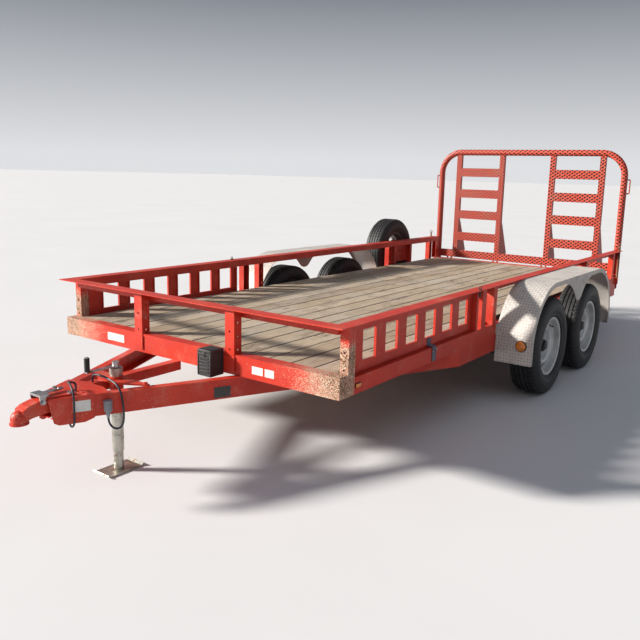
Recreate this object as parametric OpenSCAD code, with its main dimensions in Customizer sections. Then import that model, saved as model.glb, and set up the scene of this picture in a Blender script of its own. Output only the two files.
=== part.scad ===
// Tandem-axle open utility trailer with stored side ramps and a rear ramp gate.
// Millimetres. +Z up, ground at z = 0, tongue towards -Y, gate towards +Y.
// Modules use Y = 0 at the front face of the bed; placed() moves that to the row frame.

/* [Bed] */
// Half width of the bed over its side rails
bed_half = 1041; // [900:1:1200]
// Height of the deck's top face
deck_z = 578; // [450:1:700]
// Thickness of a deck board
board_t = 38; // [20:1:50]
// Number of deck boards
board_n = 14; // [8:1:18]
// Width of a deck board
board_w = 138; // [80:1:240]
// Pitch of the deck boards
board_pitch = 140.1; // [100:0.1:250]
// Position of the rear crossmember's front face
rear_y = 4807; // [3000:1:6000]
// Depth of the rear crossmember
rear_d = 70; // [40:1:120]
// Number of crossmembers under the deck
cross_n = 8; // [4:1:12]

/* [Frame] */
// Underside of the main and tongue rails
rail_z0 = 369; // [250:1:450]
// Top of the main and tongue rails
rail_z1 = 471; // [350:1:550]
// Position of the bend between tongue rail and main rail
kink_y = 1260; // [600:1:1800]
// Sideways run of a tongue rail for each unit forward
tongue_slope = 0.4777; // [0.3:0.0001:0.7]
// Front end of the tongue rails
nose_y = -800; // [-1400:1:-500]
// Wall of the pressed channels
wall = 4; // [3:0.5:8]

/* [Rails and posts] */
// Underside of the top rail's flange
top_z = 810; // [700:1:1000]
// Depth of the top rail's web
top_web = 50; // [30:1:80]
// Centre distance of the front posts from the middle
front_post_x = 355; // [200:1:600]
// Width of a front post
front_post_w = 64; // [40:1:100]

/* [Side ramps] */
// Length of a stored side ramp
ramp_len = 1338; // [900:1:1600]
// Width of a window between slats
ramp_win = 121; // [80:1:180]
// Pitch of the slats
ramp_pitch = 210; // [150:1:260]

/* [Running gear] */
// Tyre outer radius
tyre_r = 344; // [300:1:400]
// Tyre section width
tyre_w = 205; // [180:1:260]
// Position of the front axle
axle_y = 2281; // [1800:1:2800]
// Spacing of the two axles
axle_gap = 879; // [780:1:950]
// Centre of a wheel from the middle
wheel_x = 1173.5; // [1100:0.5:1250]
// Lug circle diameter
lug_pcd = 114.3; // [100:0.1:140]
// Number of windows in the wheel disc
rim_windows = 10; // [5:1:16]

/* [Fenders] */
// Half length of a fender
fender_half = 930; // [800:1:1100]
// Top of a fender
fender_z = 809; // [700:1:900]
// Corner radius of a fender
fender_r = 420; // [200:1:500]

/* [Gate] */
// Middle plane of the gate when it stands up
gate_y = 4912; // [4890:1:4950]
// Centre distance of the gate's legs from the middle
gate_leg_x = 1006; // [900:1:1100]
// Radius of the gate's tube
gate_r = 32; // [15:1:40]
// Centre height of the gate's top tube
gate_top_z = 1774; // [1200:1:2000]
// Bend radius of the gate's corners
gate_bend = 230; // [100:1:400]
// Height of the gate's hinge line
hinge_z = 515; // [480:1:560]

/* [Jack and coupler] */
// Position of the jack
jack_y = -433; // [-600:1:-300]
// Outer radius of the jack's tube
jack_r = 28.5; // [24:0.5:40]
// Lower end of the jack's tube
jack_z0 = 105; // [80:1:300]
// Centre of the coupler's ball
ball_y = -945; // [-1000:1:-900]
// Radius of the ball socket
socket_r = 30; // [24:0.1:32]

/* [Hidden] */
$fn = 48;
y_mid = 2060;
rail_a = atan(tongue_slope);
rail_ca = cos(rail_a);
nose_x = 56.8;
fender_mid = axle_y + axle_gap / 2;
wheel_ys = [axle_y, axle_y + axle_gap];
stile_xs = [-790, -280, 280, 790];
rung_zs = [835, 1083, 1320, 1555];
gate_rail_z0 = 592;
gate_rail_z1 = 672;
lug_xs = [-860, -293, 260, 860];
ramp_y0 = 128;
ramp_x0 = 993;
ramp_x1 = 1007;
cable_pts = [[-55, -528, 465], [-54, -529, 488], [-40, -533, 508], [0, -538, 518],
    [60, -541, 518], [115, -545, 512], [160, -550, 500], [190, -553, 470],
    [203, -553, 420], [204, -550, 365], [198, -552, 322], [188, -564, 302],
    [177, -584, 304], [172, -602, 325], [172, -611, 352], [172, -612, 380]];
chain_pts = [[0, -700, 520], [40, -716, 520], [86, -736, 508], [107, -744, 468],
    [108, -745, 410], [106, -745, 362], [92, -744, 338], [62, -736, 332],
    [34, -722, 352], [18, -700, 400], [16, -684, 440], [20, -673, 490], [14, -676, 512]];
red = [0.72, 0.10, 0.06];
steel = [0.55, 0.56, 0.58];
dark = [0.08, 0.08, 0.09];
timber = [0.62, 0.54, 0.42];
silver = [0.78, 0.79, 0.80];
tread = [0.66, 0.67, 0.70];

// ---- helpers ----

module placed() {
    translate([0, -y_mid, 0]) children();
}

module both_sides() {
    children();
    mirror([1, 0, 0]) children();
}

// Box between two corners.
module box(a, b) {
    translate(a) cube(b - a);
}

// Cylinder along X from x0 to x1.
module rod_x(x0, x1, y, z, r) {
    translate([x0, y, z]) rotate([0, 90, 0]) cylinder(h = x1 - x0, r = r);
}

// Cylinder along Y from y0 to y1.
module rod_y(x, y0, y1, z, r) {
    translate([x, y0, z]) rotate([-90, 0, 0]) cylinder(h = y1 - y0, r = r);
}

// Cylinder along Z from z0 to z1.
module rod_z(x, y, z0, z1, r) {
    translate([x, y, z0]) cylinder(h = z1 - z0, r = r);
}

// Outline in the YZ plane, extruded from x0 to x1.
module slab_x(x0, x1) {
    translate([x0, 0, 0]) rotate([90, 0, 90]) linear_extrude(x1 - x0) children();
}

// Outer face of the tongue rail at a given y.
function rail_x(y) = nose_x + (y - nose_y) * tongue_slope;

// Local frame of the left tongue rail: +Y along it, +X out of its outer face.
module on_rail() {
    translate([nose_x, nose_y, 0]) rotate([0, 0, -rail_a]) children();
}

// ---- round tube swept along points ----

function unit(v) = v / norm(v);
function tangent(p, i) = unit(p[min(i + 1, len(p) - 1)] - p[max(i - 1, 0)]);
function spline(p, i, t) = let (
        a = p[max(i - 1, 0)], b = p[i], c = p[i + 1], d = p[min(i + 2, len(p) - 1)])
    0.5 * (2 * b + (c - a) * t + (2 * a - 5 * b + 4 * c - d) * t * t
        + (3 * b - a - 3 * c + d) * t * t * t);
function smooth(p, n) = concat(
    [for (i = [0 : len(p) - 2]) for (k = [0 : n - 1]) spline(p, i, k / n)], [p[len(p) - 1]]);
function side_axis(t) = unit(cross(t, abs(t[1]) > 0.85 ? [1, 0, 0] : [0, 1, 0]));
function carry(p, i, u) = i >= len(p) ? []
    : let (t = tangent(p, i), w = unit(u - t * (u * t))) concat([w], carry(p, i + 1, w));
module sweep(p, r, sides) {
    us = carry(p, 0, side_axis(tangent(p, 0)));
    pts = [for (i = [0 : len(p) - 1]) let (t = tangent(p, i), v = cross(t, us[i]))
        for (k = [0 : sides - 1])
            p[i] + r * (us[i] * cos(360 * k / sides) + v * sin(360 * k / sides))];
    n = len(p);
    skin = [for (i = [0 : n - 2]) for (k = [0 : sides - 1]) let (m = (k + 1) % sides)
        each [[i * sides + k, (i + 1) * sides + k, i * sides + m],
            [i * sides + m, (i + 1) * sides + k, (i + 1) * sides + m]]];
    cap0 = [[for (k = [0 : sides - 1]) k]];
    cap1 = [[for (k = [sides - 1 : -1 : 0]) (n - 1) * sides + k]];
    polyhedron(points = pts, faces = concat(skin, cap0, cap1), convexity = 6);
}

// ---- bed frame ----

module front_header() {
    color(red) difference() {
        box([-bed_half, 0, rail_z1], [bed_half, 70, deck_z]);
        box([-bed_half + 5, wall, rail_z1 + wall], [bed_half - 5, 71, deck_z - wall]);
    }
}

module side_rail() {
    difference() {
        box([981, 124.5, rail_z1], [bed_half, rear_y, 554]);
        box([980, 123, rail_z1 + wall], [bed_half - wall, rear_y + 1, 554 - wall]);
    }
}

module side_rails() {
    color(red) both_sides() side_rail();
}

// Hollow member with sockets for the two tail lights.
module rear_crossmember() {
    color(red) difference() {
        box([-bed_half, rear_y, 431], [bed_half, rear_y + rear_d, deck_z]);
        box([-bed_half - 1, rear_y - 1, 436], [bed_half + 1, rear_y + rear_d - 5, deck_z - 5]);
        for (s = [-1, 1]) {
            box([s * 900 - 82, rear_y, 452], [s * 900 + 82, rear_y + rear_d + 1, 510]);
        }
    }
}

module crossmember() {
    difference() {
        box([-980.8, 0, rail_z1], [980.8, 40, deck_z - board_t]);
        box([-982, wall, rail_z1 + wall], [982, 41, deck_z - board_t - wall]);
    }
}

module crossmembers() {
    color(red) for (i = [0 : cross_n - 1]) {
        translate([0, 350 + 600 * i, 0]) crossmember();
    }
}

module main_rail() {
    difference() {
        box([bed_half - 45, kink_y, rail_z0], [bed_half, rear_y, rail_z1]);
        box([bed_half - 46, kink_y - 1, rail_z0 + 5], [bed_half - 5, rear_y + 1, rail_z1 - 5]);
    }
}

module main_rails() {
    color(red) both_sides() main_rail();
}

module tongue_rail() {
    difference() {
        on_rail() box([-45, -60, rail_z0], [0, 2400, rail_z1]);
        on_rail() box([-46, -61, rail_z0 + 5], [-5, 2401, rail_z1 - 5]);
        rod_z(58, -730, 460, 480, 6.5);
        box([-500, nose_y - 300, 0], [1500, nose_y, 600]);
        box([-500, kink_y, 0], [1500, kink_y + 600, 600]);
    }
}

module tongue_rails() {
    color(red) both_sides() tongue_rail();
}

// Square tube that carries the wiring from the nose to the header.
module center_tube() {
    color(red) difference() {
        box([-80, -640, 421], [-30, 15, rail_z1]);
        box([-76, -641, 425], [-34, 16, rail_z1 - 4]);
        rod_z(-55, -528, 460, 480, 9);
    }
}

module nose_side() {
    on_rail() translate([0, 0, 0]) rotate([90, 0, 90]) linear_extrude(6) polygon([
        [-36, 471], [-14, 362], [8, 350], [120, 350], [164, 366], [164, 471]]);
}

module nose_plates() {
    color(red) {
        both_sides() nose_side();
        difference() {
            translate([0, 0, rail_z1]) linear_extrude(6) polygon([
                [-50, -830], [50, -830], [rail_x(-650) + 6, -650], [rail_x(-590) + 2, -590],
                [70, -560], [-70, -560], [-rail_x(-590) - 2, -590], [-rail_x(-650) - 6, -650]]);
            for (dx = [-12, 12]) {
                rod_z(20 + dx, -673, 460, 490, 14);
            }
            box([8, -687, 460], [32, -659, 490]);
            rod_z(73, -668, 460, 490, 6);
            for (s = [-1, 1]) {
                rod_z(s * 58, -730, 460, 490, 6.5);
            }
            box([-33.3, -840, 470], [33.3, -799.7, 478]);
        }
    }
}

// ---- coupler ----

// Pressed coupler: ball socket, channel neck and a foot that widens onto the nose plate.
module coupler_body() {
    color(red) difference() {
        union() {
            rod_z(0, ball_y, 384, 410, 37);
            translate([0, ball_y, 410]) sphere(r = 37);
            rod_z(0, ball_y, 384, 391, 41);
            slab_x(-33, 33) polygon([
                [ball_y + 10, 396], [-905, 405], [-812, 414], [-800, 477], [-757, 477],
                [-757, 484], [-820, 482], [-876, 472], [-920, 462], [-945, 447],
                [ball_y + 2, 440]]);
            translate([0, 0, 477]) linear_extrude(8) polygon([
                [-33, -830], [33, -830], [46, -800], [78, -720], [78, -712], [-78, -712],
                [-78, -720], [-46, -800]]);
        }
        translate([0, ball_y, 410]) sphere(r = socket_r);
        rod_z(0, ball_y, 360, 384, 60);
        rod_z(0, ball_y, 383, 410, socket_r);
        slab_x(-27, 27) polygon([
            [-912, 395], [-905, 395], [-812, 400], [-806, 470], [-876, 464], [-905, 456]]);
        for (s = [-1, 1]) {
            rod_z(s * 58, -730, 470, 490, 6.5);
        }
        rod_x(-40, 40, -850, 466, 5.3);
    }
}

// Lever on the coupler's top with its locking collar.
module coupler_latch() {
    color(steel) difference() {
        union() {
            for (s = [-1, 1]) {
                slab_x(s > 0 ? 33.5 : -37.5, s > 0 ? 37.5 : -33.5) polygon([
                    [-862, 456], [-842, 456], [-834, 488], [-822, 492], [-822, 502],
                    [-866, 502], [-866, 488]]);
            }
            box([-37.5, -866, 492], [37.5, -822, 502]);
            box([-11, -822, 494], [11, -752, 502]);
            rod_y(0, -752, -728, 498, 7);
        }
        rod_x(-40, 40, -850, 466, 5.3);
    }
}

module coupler_bolts() {
    color(steel) {
        for (s = [-1, 1]) {
            rod_z(s * 58, -730, 462, 485, 6.2);
            rod_z(s * 58, -730, 485, 494, 10);
        }
        rod_x(-42, 42, -850, 466, 5);
        rod_x(-46, -38.5, -850, 466, 9);
        rod_x(38.5, 46, -850, 466, 9);
    }
}

// ---- jack ----

module jack_mount() {
    color(red) difference() {
        union() {
            translate([0, 0, rail_z1]) linear_extrude(8) polygon([
                [-205, -395], [205, -395], [205, -410], [60, -490], [-60, -490], [-205, -410]]);
            rod_z(0, jack_y, 426, rail_z1, jack_r + 6);
            rod_z(0, jack_y, rail_z1 + 8, 492, jack_r + 5);
            for (s = [-1, 1]) {
                rod_z(s * 188, -406, rail_z1 + 8, 487, 10);
            }
        }
        rod_z(0, jack_y, 420, 500, jack_r + 0.1);
        box([-85, -640, 415], [-29.8, 15, rail_z1]);
    }
}

module jack_tube() {
    color(silver) difference() {
        union() {
            rod_z(0, jack_y, jack_z0, 512, jack_r);
            rod_z(0, jack_y, 505, 533, 32);
        }
        rod_z(0, jack_y, jack_z0 - 1, 505, jack_r - 4);
        rod_z(0, jack_y, 500, 540, 8.3);
    }
}

module jack_ram() {
    color(silver) difference() {
        union() {
            rod_z(0, jack_y, 8, 400, jack_r - 4.3);
            box([-60, jack_y - 95, 0], [60, jack_y + 95, 8]);
            for (s = [-1, 1]) {
                slab_x(-60, 60) polygon([
                    [jack_y + s * 95, 0], [jack_y + s * 112, 14], [jack_y + s * 108, 18],
                    [jack_y + s * 93, 8]]);
            }
        }
        rod_z(0, jack_y, 14, 401, jack_r - 8);
        for (z = [30 : 24 : 90]) {
            rod_y(0, jack_y - 40, jack_y + 40, z, 4);
        }
    }
}

module jack_crank() {
    color(steel) {
        rod_z(0, jack_y, 508, 536, 8);
        rod_z(0, jack_y, 536, 564, 17);
        box([-10, -604, 538], [10, jack_y, 545]);
        rod_z(0, -595, 545, 612, 5);
        rod_z(0, -595, 612, 615, 9);
    }
}

module jack_grip() {
    color(dark) difference() {
        rod_z(0, -595, 546, 611, 13);
        rod_z(0, -595, 545, 612, 5.3);
    }
}

// ---- deck and rails ----

module deck_boards() {
    color(timber) for (i = [0 : board_n - 1]) {
        translate([(i - (board_n - 1) / 2) * board_pitch - board_w / 2, 71, deck_z - board_t])
            cube([board_w, rear_y - 71, board_t]);
    }
}

module front_rail() {
    color(red) {
        box([-986, -26, top_z], [986, 55, top_z + 5]);
        box([-986, 50, top_z + 5 - top_web], [986, 55, top_z]);
    }
}

module side_top_rail() {
    difference() {
        union() {
            box([986, -26, top_z], [1067, rear_y + rear_d, top_z + 5]);
            box([986, 50, top_z + 5 - top_web], [991, rear_y + rear_d, top_z]);
        }
        rod_z(1052, 1480, top_z - 1, top_z + 6, 6.5);
        rod_z(1053, 4795, top_z - 1, top_z + 6, 8.4);
    }
}

module side_top_rails() {
    color(red) both_sides() side_top_rail();
}

// Centre posts of the front rail, lapped over the header.
module front_post() {
    difference() {
        union() {
            box([front_post_x - 32, -4, 490], [front_post_x + 32, 0, top_z]);
            for (x = [front_post_x - 32, front_post_x + 28]) {
                box([x, 0, deck_z], [x + 4, 50, top_z]);
            }
            box([front_post_x - 36, -8, 490], [front_post_x + 36, -4, 567]);
        }
        for (z = [603, 695]) {
            rod_y(front_post_x, -10, 4, z, 6);
        }
        for (z = [600, 670, 740]) {
            rod_x(front_post_x - 40, front_post_x + 40, 25, z, 6);
        }
    }
}

module front_posts() {
    color(red) both_sides() front_post();
}

// Channel post with its web on the outside and its mouth towards the bed.
module channel_post(y0, y1, holes) {
    difference() {
        box([991, y0, 554], [1041, y1, top_z]);
        box([990, y0 + 4, 553], [1037, y1 - 4, top_z + 1]);
        for (z = holes) {
            rod_x(1030, 1050, (y0 + y1) / 2, z, 6);
        }
    }
}

module corner_post_front() {
    difference() {
        box([991, 70, rail_z1], [1041, 124, top_z]);
        box([995, 74, rail_z1 - 1], [1037, 125, top_z + 1]);
        for (z = [596, 681]) {
            rod_x(1030, 1050, 100, z, 6);
            rod_y(1016, 60, 80, z, 6);
        }
    }
}

module side_post_set() {
    corner_post_front();
    box([991, 1470, 554], [1041, 1475, top_z]);
    box([1036, 1475, 554], [1041, 1495, top_z]);
    channel_post(1550, 1614, []);
    channel_post(1730, 1785, [622, 711]);
    channel_post(3760, 3815, [622, 711]);
    channel_post(4650, 4705, []);
    difference() {
        box([991, rear_y, deck_z], [1041, rear_y + rear_d, top_z]);
        box([995, rear_y - 1, deck_z - 1], [1037, rear_y + rear_d - 4, top_z + 1]);
    }
}

module side_posts() {
    color(red) both_sides() side_post_set();
}

// ---- stored side ramps ----

module side_ramp() {
    y1 = ramp_y0 + ramp_len;
    difference() {
        box([ramp_x0, ramp_y0, 556], [ramp_x1, y1, 806]);
        box([ramp_x0 - 1, ramp_y0 + 4, 766], [ramp_x1 - 4, y1 - 4, 802]);
        box([ramp_x0 - 1, ramp_y0 + 4, 560], [ramp_x1 - 4, y1 - 4, 603]);
        for (i = [0 : 5]) {
            y = 238 + ramp_pitch * i;
            box([ramp_x0 - 1, y, 607], [ramp_x1 + 1, y + ramp_win, 762]);
            if (i < 5) {
                box([ramp_x0 - 1, y + ramp_win + 4, 611], [ramp_x1 - 4, y + ramp_pitch - 4, 758]);
            }
        }
        box([ramp_x0 - 1, ramp_y0 + 4, 611], [ramp_x1 - 4, 234, 758]);
        box([ramp_x0 - 1, 1413, 611], [ramp_x1 - 4, y1 - 4, 758]);
    }
}

module side_ramp_left() {
    color(red) side_ramp();
}

module side_ramp_right() {
    color(red) mirror([1, 0, 0]) side_ramp();
}

module ramp_pin() {
    rod_z(1052, 1480, 772, 822, 6.1);
    rod_z(1052, 1480, 815.4, 822, 11);
    translate([1052, 1480, 828]) rotate([90, 0, 0]) rotate_extrude() translate([9, 0]) circle(r = 2.5, $fn = 24);
}

module ramp_pin_left() {
    color(dark) ramp_pin();
}

module ramp_pin_right() {
    color(dark) mirror([1, 0, 0]) ramp_pin();
}

// Webbing strap that hangs from the left ramp's lower member.
module ramp_strap() {
    color(dark) translate([0, 895, 0]) rotate([90, 0, 0]) mirror([0, 0, 1]) linear_extrude(45) polygon([
        [1007, 603], [1010, 603], [1010, 565], [1045, 559], [1045, 474], [1042, 474],
        [1042, 556], [1007, 562]]);
}

// ---- fenders and lights ----

// Fender outline around its middle, grown inwards by g.
module fender_outline(g) {
    union() {
        translate([-(fender_half - fender_r), 0]) square([2 * (fender_half - fender_r), fender_z - g]);
        translate([-(fender_half - g), 0]) square([2 * (fender_half - g), fender_z - fender_r]);
        for (s = [-1, 1]) {
            translate([s * (fender_half - fender_r), fender_z - fender_r]) circle(r = fender_r - g, $fn = 120);
        }
    }
}

// Rounded drop of the skirt between the wheels, with hollow flanks.
module fender_drop() {
    difference() {
        translate([-340, 655.8]) square([680, 134]);
        for (s = [-1, 1]) {
            translate([s * 340, 428.5]) circle(r = 348.5, $fn = 120);
        }
    }
    translate([0, 721]) circle(r = 100, $fn = 96);
}

module fender() {
    translate([0, fender_mid, 0]) {
        slab_x(1045, 1295) difference() {
            fender_outline(0);
            fender_outline(3);
            translate([-1100, -200]) square([2200, 500]);
        }
        slab_x(1292, 1295) difference() {
            fender_outline(2);
            difference() {
                fender_outline(32);
                fender_drop();
            }
            translate([-1100, -200]) square([2200, 500]);
        }
        for (s = [-1, 1]) {
            box([1041, s * 915 - 12, 480], [1048, s * 915 + 12, 550]);
        }
    }
}

module fender_left() {
    color(tread) fender();
}

module fender_right() {
    color(tread) mirror([1, 0, 0]) fender();
}

module marker_lights() {
    y0 = fender_mid - fender_half;
    color([0.85, 0.35, 0.05]) both_sides() {
        rod_y(1224, y0 - 6, y0, 427, 38);
        rod_y(1224, y0 - 20, y0 - 6, 427, 33);
        box([1041, 128, 500], [1049, 178, 524]);
    }
}

module tail_lights() {
    color([0.6, 0.03, 0.03]) for (s = [-1, 1]) {
        box([s * 900 - 80, rear_y + 40, 454], [s * 900 + 80, rear_y + rear_d - 1, 508]);
    }
}

// ---- running gear ----

module axle_half(y) {
    rod_x(1060, wheel_x + 14, y, tyre_r, 19.7);
    box([1052, y - 38, 225], [1060, y + 38, tyre_r + 34]);
    difference() {
        rod_x(1078, 1083, y, tyre_r, 120);
        rod_x(1070, 1090, y, tyre_r, 24);
    }
    for (k = [0 : 3]) {
        rod_x(1060, 1078, y + 45 * cos(45 + 90 * k), tyre_r + 45 * sin(45 + 90 * k), 5);
    }
    box([996, y - 45, 292], [1040, y + 45, 300]);
    box([986, y - 55, 328.4], [1051, y + 55, 334]);
    box([986, y - 55, 214], [1051, y + 55, 220]);
    for (x = [991, 1046]) {
        for (s = [-1, 1]) {
            rod_z(x, y + s * 46, 206, 342, 5);
        }
    }
}

module axle_beams() {
    color(dark) for (y = wheel_ys) {
        difference() {
            rod_x(-1052, 1052, y, 258, 38);
            rod_x(-1040, 1040, y, 258, 33);
        }
        both_sides() axle_half(y);
    }
}

// One curved leaf, reach each way from the axle, k leaves below the main one.
module leaf(reach, k) {
    n = 12;
    top = [for (i = [-n : n]) let (d = reach * i / n) [d, 328 - 7 * k + 7 * pow(d / 330, 2)]];
    low = [for (i = [n : -1 : -n]) let (d = reach * i / n) [d, 321.2 - 7 * k + 7 * pow(d / 330, 2)]];
    slab_x(996, 1040) polygon(concat(top, low));
}

module leaf_spring(y) {
    translate([0, y, 0]) {
        leaf(318, 0);
        leaf(240, 1);
        leaf(165, 2);
        leaf(95, 3);
        for (s = [-1, 1]) {
            difference() {
                rod_x(996, 1040, s * 330, 335, 15);
                rod_x(995, 1041, s * 330, 335, 8.2);
            }
        }
    }
}

module leaf_springs() {
    color(dark) for (y = wheel_ys) {
        both_sides() leaf_spring(y);
    }
}

module hanger(y) {
    box([988, y - 32, 363], [1048, y + 32, 369]);
    for (x = [988, 1042]) {
        box([x, y - 26, 316], [x + 6, y + 26, 363]);
    }
    rod_x(984, 1052, y, 335, 8);
}

// Equaliser plates between the two springs of one side, on a fixed middle lug.
module equaliser() {
    y0 = axle_y + 330;
    y1 = axle_y + axle_gap - 330;
    box([1008, fender_mid - 30, 318], [1028, fender_mid + 30, 369]);
    for (x = [988, 1042]) {
        slab_x(x, x + 6) polygon([
            [y0 - 18, 322], [fender_mid, 306], [y1 + 18, 322], [y1 + 18, 350],
            [fender_mid, 362], [y0 - 18, 350]]);
    }
    for (y = [y0, fender_mid, y1]) {
        rod_x(984, 1052, y, 335, 8);
    }
}

module spring_hangers() {
    color(dark) both_sides() {
        hanger(axle_y - 330);
        hanger(axle_y + axle_gap + 330);
        equaliser();
    }
}

// Wheel pieces are drawn round the X axis with the outboard side at +X.
module turned() {
    rotate([90, 0, 90]) rotate_extrude($fn = 96) children();
}

module tyre_shape() {
    b = tyre_w / 2;
    outer = [[195, 75.5], [207.5, 75.5], [212, 87], [235, b - 7], [258, b - 1], [276, b],
        [297, b - 2], [317, b - 8.5], [332, b - 18], [341, b - 28], [tyre_r, b - 39]];
    inner = [[195, 62], [212, 65], [235, b - 20], [258, b - 13], [276, b - 12], [297, b - 14],
        [316, b - 22], [327, b - 34], [330, b - 46]];
    difference() {
        turned() polygon(concat(outer, [for (i = [len(outer) - 1 : -1 : 0]) [outer[i][0], -outer[i][1]]],
            [for (p = inner) [p[0], -p[1]]], [for (i = [len(inner) - 1 : -1 : 0]) inner[i]]));
        for (x = [-44, -15, 15, 44]) {
            turned() translate([tyre_r - 7, x - 4]) square([10, 8]);
        }
    }
}

module rim_shape() {
    difference() {
        union() {
            turned() polygon([
                [206, -83], [206, -79], [194, -76], [190, -44], [177, -34], [177, 30],
                [190, 40], [194, 76], [206, 79], [206, 83], [202, 83], [189, 80],
                [185, 43], [172, 33], [172, -37], [185, -47], [189, -80], [202, -83]]);
            turned() polygon([
                [41.5, 0], [75, 0], [92, 9], [110, 34], [123, 40], [165, 25], [174, 25],
                [174, 32], [166, 32], [124, 47], [107, 41], [89, 16], [73, 6], [41.5, 6]]);
        }
        for (k = [0 : rim_windows - 1]) {
            rotate([360 * k / rim_windows, 0, 0]) slab_x(0, 60) polygon([
                [-14, 126], [14, 126], [27, 163], [-27, 163]]);
        }
        for (k = [0 : 4]) {
            rotate([72 * k, 0, 0]) rod_x(-5, 12, 0, lug_pcd / 2, 7);
        }
    }
}

module hub_shape() {
    difference() {
        union() {
            rod_x(-14, 0, 0, 0, 72);
            rod_x(-78, -14, 0, 0, 127);
            rod_x(0, 10, 0, 0, 41.3);
            rod_x(10, 52, 0, 0, 32);
        }
        rod_x(-90, -22, 0, 0, 118);
        rod_x(-90, 18, 0, 0, 20);
        rod_x(-90, 40, 0, 0, 16);
    }
    difference() {
        rod_x(-60, -20, 0, 0, 34);
        rod_x(-90, 18, 0, 0, 20);
    }
    for (k = [0 : 4]) {
        rotate([72 * k, 0, 0]) {
            rod_x(-2, 28, 0, lug_pcd / 2, 6.2);
            translate([6, 0, lug_pcd / 2]) rotate([0, 90, 0]) cylinder(h = 16, r = 11, $fn = 6);
        }
    }
}

module at_wheel(side, y) {
    translate([side * wheel_x, y, tyre_r]) mirror([side < 0 ? 1 : 0, 0, 0]) children();
}

module tyre(side, y) {
    color(dark) at_wheel(side, y) tyre_shape();
}

module rim(side, y) {
    color(silver) at_wheel(side, y) rim_shape();
}

module hub(side, y) {
    color(steel) at_wheel(side, y) hub_shape();
}

// ---- spare wheel ----

module at_spare() {
    translate([-1186.5, 4075, 690]) mirror([1, 0, 0]) children();
}

module spare_tyre() {
    color(dark) at_spare() tyre_shape();
}

module spare_rim() {
    color(silver) at_spare() rim_shape();
}

module spare_mount() {
    color(red) {
        difference() {
            box([-1045, 3887, 590], [-1041, 4263, 800]);
            rod_x(-1050, -1030, 4075, 690, 62);
        }
        for (y = [3890, 4220]) {
            box([-1041, y, 554], [-1001, y + 40, top_z]);
        }
        rod_x(-1188, -1055, 4075, 690, 26);
        rod_x(-1186.5, -1180, 4075, 690, 74);
        difference() {
            rod_x(-1055, -1045, 4075, 690, 80);
            rod_x(-1060, -1040, 4075, 690, 12);
        }
        for (k = [0 : 4]) {
            translate([0, 4075, 690]) rotate([72 * k, 0, 0]) rod_x(-1210, -1180, 0, lug_pcd / 2, 6.2);
        }
    }
    color(steel) for (k = [0 : 4]) {
        translate([-1208.5, 4075, 690]) rotate([72 * k, 0, 0]) translate([0, 0, lug_pcd / 2])
            rotate([0, 90, 0]) cylinder(h = 16, r = 11, $fn = 6);
    }
}

// ---- gate ----

module hoop(r) {
    bx = gate_leg_x - gate_bend;
    bz = gate_top_z - gate_bend;
    both_sides() {
        rod_z(gate_leg_x, gate_y, 535, bz, r);
        translate([bx, gate_y, bz]) rotate([90, 0, 0]) rotate_extrude(angle = 90)
            translate([gate_bend, 0]) circle(r = r);
    }
    rod_x(-bx, bx, gate_y, gate_top_z, r);
}

module gate_frame() {
    color(red) {
        difference() {
            hoop(gate_r);
            hoop(gate_r - 3);
        }
        difference() {
            box([-980, gate_y - 23, gate_rail_z0], [980, gate_y + 23, gate_rail_z1]);
            box([-981, gate_y - 20, gate_rail_z0 + 3], [981, gate_y + 20, gate_rail_z1 - 3]);
        }
        both_sides() {
            rod_z(gate_leg_x + 57, gate_y, 1380, 1515, 6);
            for (z = [1380, 1515]) {
                rod_x(gate_leg_x + gate_r - 1, gate_leg_x + 57, gate_y, z, 6);
            }
        }
    }
}

module gate_stile(x) {
    difference() {
        box([x - 27.5, gate_y - 20, gate_rail_z1], [x + 27.5, gate_y + 20, 1746]);
        box([x - 24.5, gate_y - 17, gate_rail_z1 - 1], [x + 24.5, gate_y + 17, 1747]);
        hoop(gate_r + 0.3);
    }
}

module gate_ladders() {
    color(red) {
        for (x = stile_xs) {
            gate_stile(x);
        }
        for (s = [-1, 1]) {
            for (z = rung_zs) {
                difference() {
                    box([s * 535 - 227.5, gate_y - 19, z - 46], [s * 535 + 227.5, gate_y + 19, z + 46]);
                    box([s * 535 - 229, gate_y - 16, z - 43], [s * 535 + 229, gate_y + 16, z + 43]);
                }
            }
        }
    }
}

// Braces behind each stile's foot.
module gate_gussets() {
    color(red) for (x = stile_xs) {
        slab_x(x + 22.5, x + 27.5) polygon([
            [gate_y + 23, gate_rail_z1 - 50], [gate_y + 23, gate_rail_z1], [gate_y + 20, gate_rail_z1],
            [gate_y + 20, 1010], [gate_y + 30, 1010], [gate_y + 196, gate_rail_z1],
            [gate_y + 196, gate_rail_z1 - 12]]);
    }
}

// Gate side of the hinges: two ears and a pin at each lug.
module gate_hinges() {
    color(red) for (x = lug_xs) {
        for (s = [-1, 1]) {
            slab_x(s > 0 ? x + 20 : x - 28, s > 0 ? x + 28 : x - 20) polygon([
                [gate_y - 16, hinge_z - 8], [gate_y - 8, hinge_z - 16], [gate_y + 8, hinge_z - 16],
                [gate_y + 16, hinge_z - 8], [gate_y + 16, gate_rail_z0], [gate_y - 16, gate_rail_z0]]);
        }
        rod_x(x - 34, x + 34, gate_y, hinge_z, 8);
    }
}

// ---- gate latches ----

module gate_latch() {
    rod_z(1053, 4795, 500, 862, 8);
    rod_z(1053, 4795, 640, 652, 13);
    translate([1053, 4795, 875]) rotate([90, 0, 0]) rotate_extrude() translate([13, 0]) circle(r = 3, $fn = 24);
}

module gate_latch_left() {
    color(steel) gate_latch();
}

module gate_latch_right() {
    color(steel) mirror([1, 0, 0]) gate_latch();
}

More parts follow.
